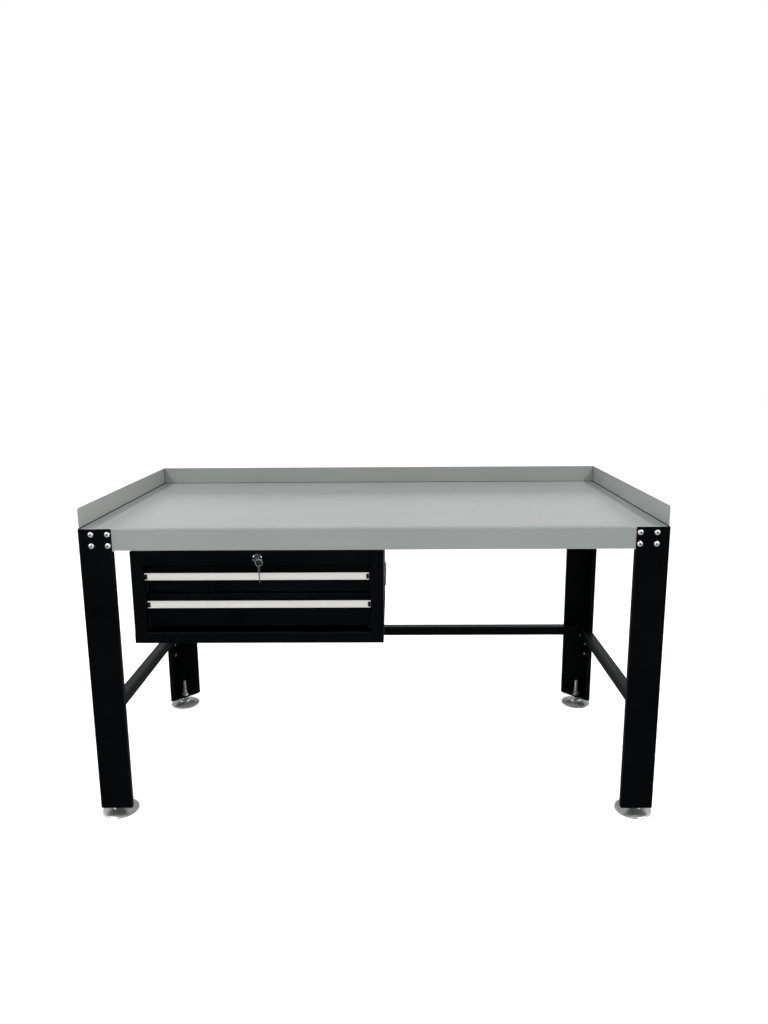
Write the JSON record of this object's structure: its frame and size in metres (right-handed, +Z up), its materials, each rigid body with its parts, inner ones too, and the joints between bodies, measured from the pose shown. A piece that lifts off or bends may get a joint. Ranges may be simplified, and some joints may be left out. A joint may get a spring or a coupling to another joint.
{
  "type": "jewelers bench",
  "caption": "Steel workbench with a rimmed tray top, folded legs on levelling feet, braces at the sides and rear, and a lockable drawer unit hung under the left half.",
  "frame": {"origin": "on the floor, under the middle of the bench", "axes": "+X to the right along the front, -Y towards the person at the bench, +Z up"},
  "size_m": [1.519, 0.7738, 0.861],
  "materials": {
    "worktop_paint": "light grey powder coat, fine texture, satin",
    "frame_paint": "black powder coat, fine texture, satin",
    "frame_fastener": "bright zinc plated button head screws",
    "zinc": "bright zinc plate",
    "black_zinc": "black zinc plate",
    "foot_disc": "pressed steel, bright zinc plate",
    "aluminium": "satin anodised",
    "label_strip": "satin, bare",
    "black_plastic": "moulded",
    "chrome": "polished",
    "key_steel": "nickel plated"
  },
  "bodies": {
    "bench": {"foot_nuts": "zinc", "foot_washers": "zinc", "frame_nuts": "black_zinc", "frame_screws": "frame_fastener", "front_left_leg": "frame_paint", "front_right_leg": "frame_paint", "left_side_brace": "frame_paint", "left_side_panel": "worktop_paint", "leg_base_plates": "frame_paint", "lock_barrel": "chrome", "lock_nut": "zinc", "rear_brace": "frame_paint", "rear_left_leg": "frame_paint", "rear_panel": "worktop_paint", "rear_right_leg": "frame_paint", "right_side_brace": "frame_paint", "right_side_panel": "worktop_paint", "side_handle_brackets": "chrome", "slide_outer_members": "zinc", "slide_uprights": "frame_paint", "unit_back_panel": "frame_paint", "unit_bottom_pan": "frame_paint", "unit_hanging_nuts": "zinc", "unit_hanging_screws": "zinc", "unit_left_side": "frame_paint", "unit_right_side": "frame_paint", "unit_top_panel": "frame_paint", "worktop_stiffeners": "worktop_paint", "worktop_tray": "worktop_paint"},
    "upper_drawer": {"upper_drawer_box": "frame_paint", "upper_drawer_front": "frame_paint", "upper_drawer_handle": "aluminium", "upper_drawer_label_strip": "label_strip", "upper_drawer_end_clips": "black_plastic", "upper_drawer_slide_inner_members": "zinc"},
    "lower_drawer": {"lower_drawer_box": "frame_paint", "lower_drawer_front": "frame_paint", "lower_drawer_handle": "aluminium", "lower_drawer_label_strip": "label_strip", "lower_drawer_end_clips": "black_plastic", "lower_drawer_slide_inner_members": "zinc"},
    "upper_middle_slides": {"upper_drawer_slide_middle_members": "zinc"},
    "lower_middle_slides": {"lower_drawer_slide_middle_members": "zinc"},
    "lock_plug_and_rod": {"lock_plug": "chrome", "lock_rod": "zinc"},
    "lock_bar": {"lock_bar": "zinc"},
    "key": {"cabinet_key": "key_steel"},
    "split_ring": {"key_ring": "key_steel"},
    "left_bail": {"left_side_handle": "chrome"},
    "right_bail": {"right_side_handle": "chrome"},
    "front_left_stud": {"front_left_foot_stud": "zinc"},
    "front_left_disc": {"front_left_foot_disc": "foot_disc"},
    "front_right_stud": {"front_right_foot_stud": "zinc"},
    "front_right_disc": {"front_right_foot_disc": "foot_disc"},
    "rear_left_stud": {"rear_left_foot_stud": "zinc"},
    "rear_left_disc": {"rear_left_foot_disc": "foot_disc"},
    "rear_right_stud": {"rear_right_foot_stud": "zinc"},
    "rear_right_disc": {"rear_right_foot_disc": "foot_disc"}
  },
  "joints": [
    {"name": "upper_drawer_slide", "type": "slide", "parent": "bench", "child": "upper_drawer", "axis": [0, -1, 0], "range_m": [0, 0.34]},
    {"name": "upper_middle_slide", "type": "slide", "parent": "bench", "child": "upper_middle_slides", "axis": [0, -1, 0], "range_m": [0, 0.17]},
    {"name": "lower_drawer_slide", "type": "slide", "parent": "bench", "child": "lower_drawer", "axis": [0, -1, 0], "range_m": [0, 0.34]},
    {"name": "lower_middle_slide", "type": "slide", "parent": "bench", "child": "lower_middle_slides", "axis": [0, -1, 0], "range_m": [0, 0.17]},
    {"name": "front_left_foot_height", "type": "slide", "parent": "bench", "child": "front_left_stud", "axis": [0, 0, -1], "range_m": [0, 0.03]},
    {"name": "front_left_foot_swivel", "type": "hinge", "parent": "front_left_stud", "child": "front_left_disc", "pos_m": [-0.7105, -0.3355, 0.008], "axis": [0, 0, 1], "continuous": true},
    {"name": "front_right_foot_height", "type": "slide", "parent": "bench", "child": "front_right_stud", "axis": [0, 0, -1], "range_m": [0, 0.03]},
    {"name": "front_right_foot_swivel", "type": "hinge", "parent": "front_right_stud", "child": "front_right_disc", "pos_m": [0.7105, -0.3355, 0.008], "axis": [0, 0, 1], "continuous": true},
    {"name": "rear_left_foot_height", "type": "slide", "parent": "bench", "child": "rear_left_stud", "axis": [0, 0, -1], "range_m": [0, 0.03]},
    {"name": "rear_left_foot_swivel", "type": "hinge", "parent": "rear_left_stud", "child": "rear_left_disc", "pos_m": [-0.7105, 0.3355, 0.008], "axis": [0, 0, 1], "continuous": true},
    {"name": "rear_right_foot_height", "type": "slide", "parent": "bench", "child": "rear_right_stud", "axis": [0, 0, -1], "range_m": [0, 0.03]},
    {"name": "rear_right_foot_swivel", "type": "hinge", "parent": "rear_right_stud", "child": "rear_right_disc", "pos_m": [0.7105, 0.3355, 0.008], "axis": [0, 0, 1], "continuous": true},
    {"name": "lock_turn", "type": "hinge", "parent": "bench", "child": "lock_plug_and_rod", "pos_m": [-0.296, -0.35, 0.727], "axis": [0, 1, 0], "range_deg": [0, 90]},
    {"name": "lock_bar_lift", "type": "slide", "parent": "bench", "child": "lock_bar", "axis": [0, 0, -1], "range_m": [0, 0.0127]},
    {"name": "key_withdraw", "type": "slide", "parent": "lock_plug_and_rod", "child": "key", "axis": [0, -1, 0], "range_m": [0, 0.03]},
    {"name": "ring_swing", "type": "hinge", "parent": "key", "child": "split_ring", "pos_m": [-0.296, -0.3833, 0.727], "axis": [0, 1, 0], "range_deg": [-90, 0]},
    {"name": "left_bail_swing", "type": "hinge", "parent": "bench", "child": "left_bail", "pos_m": [-0.6286, -0.17, 0.645], "axis": [0, 1, 0], "range_deg": [0, 165]},
    {"name": "right_bail_swing", "type": "hinge", "parent": "bench", "child": "right_bail", "pos_m": [0.0296, -0.17, 0.645], "axis": [0, -1, 0], "range_deg": [0, 165]}
  ],
  "couplings": [
    {"joint": "upper_middle_slide", "follows": "upper_drawer_slide", "ratio": 0.5},
    {"joint": "lower_middle_slide", "follows": "lower_drawer_slide", "ratio": 0.5},
    {"joint": "lock_turn", "follows": "lock_bar_lift", "rad_per_m": 123.6},
    {"joint": "ring_swing", "follows": "lock_bar_lift", "rad_per_m": -123.6}
  ]
}
